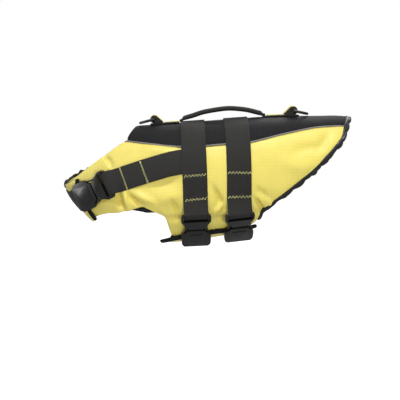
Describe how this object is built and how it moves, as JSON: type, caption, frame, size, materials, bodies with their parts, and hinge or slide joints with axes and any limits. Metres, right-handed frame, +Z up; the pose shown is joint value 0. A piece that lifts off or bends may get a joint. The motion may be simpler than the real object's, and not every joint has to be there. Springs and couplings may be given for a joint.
{
  "type": "dog life jacket",
  "caption": "Dog life jacket in yellow and dark ripstop, worn hollow: two girth straps, chest strap, three side release buckles, grab handle, two D rings.",
  "frame": {"origin": "inside of the crown of the back panel, on the middle plane, where the wearer's back carries the jacket", "axes": "+X along the back from neck to tail, -Y to the wearer's left, +Z up"},
  "size_m": [0.4657, 0.1655, 0.2216],
  "materials": {
    "yellow_ripstop": "satin",
    "dark_ripstop": "satin",
    "lining": "matte",
    "webbing": "matte",
    "yellow_tape": "matte",
    "piping": "satin",
    "binding": "satin",
    "plastic": "satin",
    "metal": "gloss"
  },
  "bodies": {
    "jacket": {"side_panel_left": "yellow_ripstop", "side_panel_right": "yellow_ripstop", "back_panel": "dark_ripstop", "lining_left": "lining", "lining_right": "lining", "chest_flap": "yellow_ripstop", "belly_flap": "yellow_ripstop", "chest_flap_binding": "binding", "belly_flap_binding": "binding", "piping_left": "piping", "piping_right": "piping", "rear_binding": "binding", "girth_strap_front": "webbing", "girth_strap_rear": "webbing", "chest_strap_left": "webbing", "chest_strap_right": "webbing", "buckle_belly_front_plug": "plastic", "buckle_belly_front_socket": "plastic", "buckle_belly_rear_plug": "plastic", "buckle_belly_rear_socket": "plastic", "buckle_chest_plug": "plastic", "buckle_chest_socket": "plastic", "spine_tape_front": "webbing", "spine_tape_front_yellow": "yellow_tape", "spine_tape_rear": "webbing", "spine_tape_rear_yellow": "yellow_tape", "ring_loop_front": "webbing", "ring_loop_rear": "webbing", "handle": "webbing"},
    "front_ring": {"d_ring_front": "metal"},
    "rear_ring": {"d_ring_rear": "metal"}
  },
  "joints": [
    {"name": "front_ring_hinge", "type": "hinge", "parent": "jacket", "child": "front_ring", "pos_m": [-0.11436, 0, 0.00513], "axis": [0, 1, 0], "range_deg": [0, 120]},
    {"name": "rear_ring_hinge", "type": "hinge", "parent": "jacket", "child": "rear_ring", "pos_m": [0.10882, 0, 0.01893], "axis": [0, -1, 0], "range_deg": [0, 120]}
  ]
}
